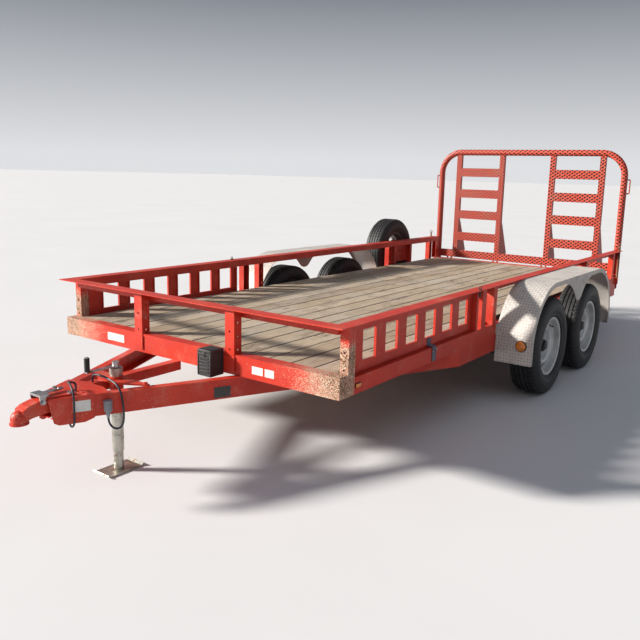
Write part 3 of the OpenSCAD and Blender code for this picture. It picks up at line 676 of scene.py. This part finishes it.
def deck():
    """Planks with eased edges, slight cupping and warp, and rows of screws."""
    b = Build()
    screws = Build()
    y0, y1 = BED_FRONT - Y_MID, BED_REAR - Y_MID
    across = (0.0, 0.012, 0.03, 0.08, 0.2, 0.35, 0.5, 0.65, 0.8, 0.92, 0.97, 0.988, 1.0)
    sides = len(across) + 2
    for i in range(BOARDS):
        x0 = (i - (BOARDS - 1) / 2) * BOARD_PITCH - BOARD_WIDTH / 2
        cup = rng.uniform(-0.0012, 0.0002)
        warp = [rng.uniform(-0.0016, 0.0) for _ in range(7)]
        inset = rng.uniform(0.0, 0.004)
        start = len(b.v)
        for j in range(DECK_STEPS + 1):
            t = j / DECK_STEPS
            y = y0 + inset + (y1 - y0 - 2 * inset) * t
            s = t * (len(warp) - 1)
            k = min(int(s), len(warp) - 2)
            w = warp[k] + (warp[k + 1] - warp[k]) * (s - k)
            for u in across:
                edge = min(u, 1 - u) * BOARD_WIDTH
                drop = 0.0035 * max(0.0, 1 - edge / 0.005) ** 2
                z = BOARD_TOP + w + cup * (1 - (2 * u - 1) ** 2) - drop - 0.0004
                b.v.append(Vector((x0 + BOARD_WIDTH * u, y, z)))
            b.v.append(Vector((x0 + BOARD_WIDTH, y, BOARD_FOOT)))
            b.v.append(Vector((x0, y, BOARD_FOOT)))
        b.f += skin(DECK_STEPS + 1, sides, start) + caps(DECK_STEPS + 1, sides, start)
        for c in range(8):
            for dx in (0.028, 0.110):
                x = x0 + dx + rng.uniform(-0.003, 0.003)
                y = FIRST_CROSS + CROSS_PITCH * c + CROSS_HALF - Y_MID + rng.uniform(-0.004, 0.004)
                screws.lathe((x, y, 0.5765), UP, 14, (0.0064, -0.004), (0.0066, -0.0009),
                             (0.0055, 0.0), (0.0026, 0.0), (0.0020, -0.0012))
    o = b.done("deck_planks", WOOD, slot="deck_wood", smooth=40)
    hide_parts("deck_boards")
    screws.done("deck_screws", ZINC, slot="zinc_steel")


deck()


# ---- tyres ----

# Half of a tyre's outer profile as (radius, distance from its middle): sidewall, then tread.
SIDEWALL = [(0.1955, 0.0745), (0.2070, 0.0765), (0.2085, 0.0815), (0.2115, 0.0865), (0.2190, 0.0905),
            (0.2215, 0.0935), (0.2255, 0.0940), (0.2280, 0.0930), (0.2350, 0.0955), (0.2440, 0.0983),
            (0.2455, 0.0995), (0.2560, 0.1010), (0.2575, 0.1001), (0.2670, 0.1018), (0.2760, 0.1024),
            (0.2860, 0.1018), (0.2875, 0.1007), (0.2970, 0.0998), (0.3060, 0.0965), (0.3075, 0.0975),
            (0.3170, 0.0935), (0.3260, 0.0890), (0.3320, 0.0838), (0.3370, 0.0783), (0.3405, 0.0735),
            (0.3430, 0.0670)]
TREAD = [(0.3438, 0.0610), (0.3439, 0.0500), (0.3439, 0.0490), (0.3370, 0.0476), (0.3370, 0.0404),
         (0.3439, 0.0390), (0.3440, 0.0300), (0.3440, 0.0205), (0.3440, 0.0195), (0.3370, 0.0181),
         (0.3370, 0.0119), (0.3440, 0.0105), (0.3440, 0.0)]
INNER = [(0.195, -0.062), (0.212, -0.065), (0.235, -0.082), (0.276, -0.090), (0.316, -0.080),
         (0.330, -0.056)]


def tyre_mesh():
    """Radial trailer tyre: four grooves, slotted shoulders, sidewall steps and ribs."""
    half = SIDEWALL + TREAD
    profile = half + [(r, -x) for r, x in half[-2::-1]] + INNER + [(r, -x) for r, x in INNER[::-1]]
    # Four rings to a tread block: the first two bound the block, the last two the slot after it.
    rings = [(p, off, low) for p in range(TYRE_PERIODS)
             for off, low in ((0.0, False), (0.70, False), (0.735, True), (0.965, True))]
    verts = []
    for p, off, low in rings:
        a = math.tau * (p + off) / TYRE_PERIODS
        for r, x in profile:
            ax, rib = abs(x), 0.0
            if low and r > 0.335 and ax > 0.0495:
                r -= 0.0055 if r > 0.3428 else 0.0035
            elif low and p % 2 == 0 and r > 0.343 and 0.020 <= ax <= 0.0395:
                r -= 0.004
            elif not low and 0.3065 < r < 0.3330 and ax > 0.083:
                rib = 0.0008
            verts.append((x + math.copysign(rib, x), r * math.cos(a), r * math.sin(a)))
    return solid_mesh("tyre_mesh", verts, skin(len(rings), len(profile), loop=True), TYRE, 32)


def wheels():
    """Tyres of the four wheels and the spare, no two turned alike, and their valves."""
    mesh = tyre_mesh()
    spots = [("tyre_%s_%s" % (end, side), "wheel_%s_%s" % (end, side), (sgn * WHEEL_X, y, HUB_Z))
             for end, y in zip(("front", "rear"), AXLES) for sgn, side in ((1, "left"), (-1, "right"))]
    spots.append(("spare_tyre", RIDE, SPARE))
    for k, (node, body, (x, y, z)) in enumerate(spots):
        y -= Y_MID
        turned = mesh.copy()
        turned.transform(Matrix.Rotation(k * math.tau / TYRE_PERIODS, 4, "X"))
        o = place(node + "_tread", turned, body, "tyre_rubber", (x, y, z))
        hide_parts(node)
        sgn = 1 if x > 0 else -1
        a = 0.9 + 1.3 * k
        out = Vector((sgn, -0.25 * math.cos(a), -0.25 * math.sin(a)))
        foot = Vector((x + sgn * 0.020, y + 0.163 * math.cos(a), z + 0.163 * math.sin(a)))
        b = Build()
        b.lathe(foot, out, 18, (0.0075, 0.0), (0.0068, 0.006), (0.0045, 0.010), (0.0042, 0.030),
                (0.0050, 0.031), (0.0050, 0.042), (0.0035, 0.044))
        b.done(node.replace("tyre", "valve"), GRIP, body, "black_plastic")


wheels()


# ---- fenders ----

# A fender's outline, in metres: two upright feet, two quarter bends and a flat top.
FOOT, BEND, FLAT = 0.089, 0.420, 0.510
FOOT_Z, BEND_Z, TOP_Z = 0.300, 0.389, 0.809
QUARTER = BEND * math.pi / 2
FENDER_RUN = 2 * (FOOT + QUARTER + FLAT)
LOZENGE_PITCH = 0.0205


def fender_point(s):
    """Point s along the fender's outline and the way out from it: (y, z, dy, dz)."""
    if s > FENDER_RUN / 2:
        y, z, dy, dz = fender_point(FENDER_RUN - s)
        return -y, z, -dy, dz
    if s <= FOOT:
        return -FENDER_HALF, FOOT_Z + s, -1, 0
    if s <= FOOT + QUARTER:
        a = math.pi - (s - FOOT) / BEND
        return -FLAT + BEND * math.cos(a), BEND_Z + BEND * math.sin(a), math.cos(a), math.sin(a)
    return s - FOOT - QUARTER - FLAT, TOP_Z, 0, 1


def treadplate():
    """Raised lozenges, laid crosswise in turn, over both fenders' skins, and their rolled edges."""
    shape = [(-0.0105, 0.0, 0.0), (-0.004, 0.0026, 0.0), (0.004, 0.0026, 0.0), (0.0105, 0.0, 0.0),
             (0.004, -0.0026, 0.0), (-0.004, -0.0026, 0.0), (-0.005, 0.0, 0.0011), (0.005, 0.0, 0.0011)]
    faces = [(0, 1, 6), (1, 2, 7, 6), (2, 3, 7), (3, 4, 7), (4, 5, 6, 7), (5, 0, 6), (0, 5, 4, 3, 2, 1)]
    for side, name in ((1, "left"), (-1, "right")):
        b = Build()
        for i in range(int((FENDER_RUN - 0.02) / LOZENGE_PITCH)):
            s = 0.018 + i * LOZENGE_PITCH
            for j in range(12):
                x = 1.0575 + j * LOZENGE_PITCH
                turn = math.pi / 4 if (i + j) % 2 == 0 else -math.pi / 4
                cu, su = math.cos(turn), math.sin(turn)
                pts = []
                for u, v, h in shape:
                    du, dv = u * cu - v * su, u * su + v * cu
                    y, z, ny, nz = fender_point(s + dv)
                    pts.append(Vector((side * (x + du), FENDER_MID + y + ny * h - Y_MID, z + nz * h)))
                b.add(pts, faces)
        # The lozenges take the brighter aluminium copy: a painted highlight.
        b.done("treadplate_%s" % name, LOZENGE, slot="treadplate", smooth=30)
        path = []
        for k in range(90):
            y, z, ny, nz = fender_point(FENDER_RUN * k / 89)
            path.append((side * 1.2915, FENDER_MID + y - ny * 0.0028 - Y_MID, z - nz * 0.0028))
        e = Build()
        e.tube(path, 0.0033)
        e.done("fender_rolled_edge_%s" % name, ALU, slot="treadplate")


treadplate()


def markers():
    """Round amber lamps in rubber grommets, and small amber side markers."""
    lamps, grommets = Build(), Build()
    ahead = (0, -1, 0)
    for s in (-1, 1):
        c = at(s * 1224, (FENDER_MID - FENDER_HALF) * 1000, 427)
        grommets.lathe(c, ahead, 48, (0.0380, 0.0), (0.0380, 0.0035), (0.0365, 0.0060),
                       (0.0345, 0.0072), (0.0335, 0.0060), (0.0332, 0.0))
        lamps.lathe(c, ahead, 48, (0.0330, 0.004), (0.0330, 0.010), (0.0322, 0.0125),
                    (0.0300, 0.0150), (0.0240, 0.0175), (0.0160, 0.0190), (0.0150, 0.0182),
                    (0.0100, 0.0188), (0.0040, 0.0195))
        lo, hi = sorted((s * 1041, s * 1045))
        grommets.box(at(lo, 128, 500), at(hi, 178, 524), 0.0015)
        lo, hi = sorted((s * 1043, s * 1049))
        lamps.box(at(lo, 131, 503), at(hi, 175, 521), 0.0018)
    o = lamps.done("amber_lamps", AMBER, slot="amber_lens")
    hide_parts("marker_lights")
    grommets.done("lamp_grommets", GRIP, slot="black_plastic")


markers()


# ---- gate skin ----

FAR, PARALLEL = 1e9, 1e-9
SHORTEST = 0.004  # a strand shorter than this is left out


def clip(px, pz, dx, dz, x0, x1, z0, z1):
    """Where the line from (px, pz) along (dx, dz) enters and leaves the rectangle, if it does."""
    lo, hi = -FAR, FAR
    for p, d, a, b in ((px, dx, x0, x1), (pz, dz, z0, z1)):
        if abs(d) < PARALLEL:
            if not a <= p <= b:
                return None
            continue
        t0, t1 = (a - p) / d, (b - p) / d
        lo, hi = max(lo, min(t0, t1)), min(hi, max(t0, t1))
    return (lo, hi) if hi - lo > SHORTEST else None


def strand(b, p, q, y, face):
    """Flat strand between two points in the gate's plane, 1.8 mm proud with sloping sides."""
    d = Vector((q[0] - p[0], 0, q[1] - p[1])).normalized()
    n = Vector((-d.z, 0, d.x))
    a, c = Vector((p[0], y, p[1])), Vector((q[0], y, q[1]))
    up = Vector((0, face, 0))
    wide, tight, tall = 0.0031, 0.0020, 0.0018
    pts = [a - n * wide, a + n * wide, a + n * tight + up * tall, a - n * tight + up * tall,
           c - n * wide, c + n * wide, c + n * tight + up * tall, c - n * tight + up * tall]
    b.add(pts, [(0, 1, 2, 3), (4, 7, 6, 5), (0, 4, 5, 1), (1, 5, 6, 2), (2, 6, 7, 3), (3, 7, 4, 0)])


def expanded_metal():
    """Diamond strands pressed on the front and rear faces of the gate's bars."""
    b = Build()
    tilt = MESH_H / MESH_W
    d = Vector((MESH_W, MESH_H)).normalized()
    # Stiles, rungs and the bottom rail: (x0, x1, z0, z1, distance from the gate's middle plane).
    rects = [(x - 0.0275, x + 0.0275, 0.673, 1.7450, 0.0200) for x in (-0.790, -0.280, 0.280, 0.790)]
    rects += [(s * 0.535 - 0.2270, s * 0.535 + 0.2270, z - 0.0455, z + 0.0455, 0.0190)
              for s in (-1, 1) for z in (0.835, 1.083, 1.320, 1.555)]
    rects.append((-0.974, 0.974, 0.593, 0.671, 0.0230))
    for x0, x1, z0, z1, deep in rects:
        for face in (-1, 1):
            y = GATE_Y + face * deep
            for lean in (-1, 1):
                ends = [z - lean * tilt * (x + y) for x in (x0, x1) for z in (z0, z1)]
                for k in range(int(min(ends) / MESH_H) - 1, int(max(ends) / MESH_H) + 2):
                    pz = k * MESH_H + lean * tilt * y
                    got = clip(0.0, pz, d.x, lean * d.y, x0, x1, z0, z1)
                    if got:
                        a, c = got
                        strand(b, (a * d.x, pz + a * lean * d.y), (c * d.x, pz + c * lean * d.y), y, face)
    b.done("gate_expanded_metal", RED_STRANDS, "gate", "red_paint", 40)


expanded_metal()


# ---- straps, springs, labels, fasteners ----

def strap():
    """Webbing strap over the ramp's lower member, with a fold and a ring."""
    profile = [(1007.2, 602.5), (1009.6, 603), (1010, 598), (1010, 567), (1012, 564.5), (1043, 559.4),
               (1045, 556.5), (1045, 476), (1043.6, 474.4), (1042.3, 476), (1042.2, 555),
               (1040.5, 556.6), (1010.5, 561.6), (1007.4, 564)]
    b = Build()
    steps = 16
    for j in range(steps + 1):
        y = 895 + 45 * j / steps
        for x, z in profile:
            sag = 0.35 + 0.35 * math.sin(j * 0.9 + z * 0.05) if 1008 < x < 1040 else 0.0
            b.v.append(at(x - sag, y, z))
    b.f = skin(steps + 1, len(profile)) + caps(steps + 1, len(profile))
    o = b.done("ramp_webbing", STRAP, "side_ramp_left", "webbing", 50)
    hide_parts("ramp_strap")
    ring = Build()
    turns = [math.tau * k / 32 for k in range(32)]
    ring.tube([at(1047.4, 917.5 + 26 * math.cos(a), 540 + 9 * math.sin(a)) for a in turns], 0.0022,
              loop=True)
    ring.done("strap_ring", ZINC, "side_ramp_left", "zinc_steel")


strap()


def latch_springs():
    """Coil over each gate latch, between its collar and the top rail."""
    turns, steps, z0, z1 = 11, 11 * 18, 654.5, 807.5
    for sx, name in ((1, "left"), (-1, "right")):
        pts = []
        for k in range(steps + 1):
            t = k / steps
            a = math.tau * turns * t
            pts.append(at(sx * 1053 + 11.2 * math.cos(a), 4795 + 11.2 * math.sin(a), z0 + (z1 - z0) * t))
        b = Build()
        b.tube(pts, 0.0017, 8)
        o = b.done("latch_spring_%s" % name, RUSTY, RIDE, "zinc_steel", 60)
        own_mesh(o)


latch_springs()


def labels():
    """Blank plates where the trailer carries decals: on the left tongue rail and on the header."""
    slope = math.atan(TONGUE_SLOPE)
    back = Vector((math.sin(slope), math.cos(slope), 0))
    aside = Vector((math.cos(slope), -math.sin(slope), 0))
    right, ahead = Vector((1, 0, 0)), Vector((0, -1, 0))
    light, dark = Build(), Build()

    def plate(b, start, along, out, w, h, t):
        p = [start, start + along * w, start + along * w + UP * h, start + UP * h]
        b.add(p + [q + out * t for q in p],
              [(3, 2, 1, 0), (4, 5, 6, 7), (0, 1, 5, 4), (1, 2, 6, 5), (2, 3, 7, 6), (3, 0, 4, 7)])

    def rail_point(y, z, lift):
        return at(56.8 + (y + 800) * TONGUE_SLOPE, y, z) + aside * lift

    plate(light, rail_point(-738, 402, 0.0061), back, aside, 0.078, 0.052, 0.0006)
    plate(dark, rail_point(-135, 378, 0.0002), back, aside, 0.088, 0.056, 0.0010)
    for x, z, w, h in ((505, 500, 0.072, 0.040), (590, 500, 0.060, 0.040), (-640, 498, 0.150, 0.046)):
        plate(light, at(x, -0.2, z), right, ahead, w, h, 0.0006)
    light.done("blank_labels", LABEL, slot="red_paint", smooth=None)
    dark.done("dark_placard", DARK_LABEL, slot="black_paint", smooth=None)


labels()


def rivets():
    """Pop rivets along the foot of each fender's front panel."""
    b = Build()
    for s in (-1, 1):
        for x in (1075, 1130, 1200, 1265):
            foot = at(s * x, (FENDER_MID - FENDER_HALF) * 1000, 330)
            b.lathe(foot, (0, -1, 0), 16, (0.0062, 0.0), (0.0056, 0.0016), (0.0030, 0.0028))
    b.done("fender_rivets", ALU, slot="treadplate")


rivets()


def battery_details():
    """Lid, seam, clasp and ribs on the breakaway battery case."""
    b = Build()
    b.box(at(213, -96, 574), at(311, -1, 581), 0.0016)
    b.box(at(214, -95, 584), at(310, -1, 601), 0.004)
    for z in (484, 502, 520, 538, 556):
        b.box(at(228, -96.5, z), at(296, -92, z + 7), 0.0014)
    for x in (219, 305):
        b.box(at(x - 4, -95.5, 466), at(x + 4, -91, 572), 0.0014)
    b.box(at(252, -98, 566), at(272, -93, 590), 0.0016)
    b.done("battery_case_trim", BOX, slot="black_plastic")


battery_details()


# ---- finishes of the CAD pieces ----

def finish_node(node, material, bevel):
    """Give a CAD piece its material, and round its edges by a bevel if that isn't 0."""
    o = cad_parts[node]
    if not o.material_slots:
        o.data.materials.append(material)
    for s in o.material_slots:
        s.link = "OBJECT"
        s.material = material
    if bevel:
        mod = o.modifiers.new("bevel", "BEVEL")
        mod.width = bevel
        mod.segments = 2
        mod.limit_method = "ANGLE"
        mod.angle_limit = math.radians(40)
        mod.harden_normals = False


# Material, bevel width in metres, and the CAD pieces that have them.
FINISHES = (
    (RED, 0.0012, "crossmembers front_posts"),
    (RED, 0.0014, "side_top_rails side_ramp_left side_ramp_right"),
    (RED, 0.0016, "side_rails"),
    (RED, 0.0018, "main_rails tongue_rails"),
    (RED, 0.0020, "center_tube"),
    (RED_FRONT, 0.0014, "front_rail side_posts"),
    (RED_FRONT, 0.0020, "front_header"),
    (RED_WORN, 0.0010, "gate_hinges latch_guides"),
    (RED_WORN, 0.0012, "nose_plates jack_mount spare_mount"),
    (RED_WORN, 0.0014, "coupler_body"),
    (RED_WORN, 0.0016, "rear_crossmember"),
    (RED_GATE, 0.0, "gate_frame"),
    (RED_GATE, 0.0008, "gate_gussets"),
    (RED_GATE, 0.0014, "gate_ladders"),
    (ZINC, 0.0008, "coupler_bolts"),
    (ZINC, 0.0010, "jack_crank"),
    (ZINC, 0.0012, "coupler_latch"),
    (JACK, 0.0008, "jack_tube"),
    (JACK, 0.0010, "jack_ram"),
    (RUSTY, 0.0008, "gate_latch_left gate_latch_right"),
    (BLACK, 0.0008, "leaf_springs ramp_pin_left ramp_pin_right"),
    (BLACK, 0.0010, "axle_beams spring_hangers"),
    (HUB, 0.0008, "hub_front_left hub_front_right hub_rear_left hub_rear_right"),
    (RIM, 0.0010, "rim_front_left rim_front_right rim_rear_left rim_rear_right spare_rim"),
    (ALU, 0.0, "fender_left fender_right"),
    (GRIP, 0.0020, "jack_grip"),
    (BOX, 0.0030, "battery_box"),
    (PLUG, 0.0014, "trailer_plug"),
    (REDLENS, 0.0040, "tail_lights"),
)
for material, width, nodes in FINISHES:
    for node in nodes.split():
        finish_node(node, material, width)


# ---- stage and light ----

def stage():
    """Pale floor out to the horizon, a sky, a low sun and a weak fill."""
    m = Mat("floor", 0.9)
    m.set("Base Color", m.ramp(m.noise(0.6, 3), (0.3, (0.60, 0.60, 0.61)), (0.7, (0.63, 0.63, 0.64))))
    mesh = bpy.data.meshes.new("floor")
    r = 300
    mesh.from_pydata([(-r, -r, 0), (r, -r, 0), (r, r, 0), (-r, r, 0)], [], [(0, 1, 2, 3)])
    mesh.materials.append(m.m)
    o = bpy.data.objects.new("floor", mesh)
    scene.collection.objects.link(o)
    world = bpy.data.worlds.new("studio")
    world.use_nodes = True
    t = world.node_tree
    coords = t.nodes.new("ShaderNodeTexCoord")
    part = t.nodes.new("ShaderNodeSeparateXYZ")
    ramp = t.nodes.new("ShaderNodeValToRGB")
    t.links.new(coords.outputs["Generated"], part.inputs[0])
    t.links.new(part.outputs["Z"], ramp.inputs[0])
    ramp.color_ramp.elements[0].position = 0.02
    ramp.color_ramp.elements[0].color = (0.74, 0.75, 0.77, 1)
    ramp.color_ramp.elements[1].position = 0.26
    ramp.color_ramp.elements[1].color = (0.15, 0.17, 0.21, 1)
    bg = t.nodes["Background"]
    t.links.new(ramp.outputs[0], bg.inputs[0])
    bg.inputs[1].default_value = 1.0
    scene.world = world

    def sun(name, power, angle, direction, colour):
        light = bpy.data.lights.new(name, "SUN")
        light.energy = power
        light.angle = math.radians(angle)
        light.color = colour
        lo = bpy.data.objects.new(name, light)
        lo.rotation_euler = Vector(direction).to_track_quat("-Z", "Y").to_euler()
        scene.collection.objects.link(lo)

    sun("key", 8.4, 7, (0.80, 0.60, -0.45), (1.0, 0.95, 0.88))
    sun("fill", 0.5, 60, (-0.25, 0.6, -0.9), (0.92, 0.96, 1.0))
    scene.view_settings.view_transform = "Standard"


stage()
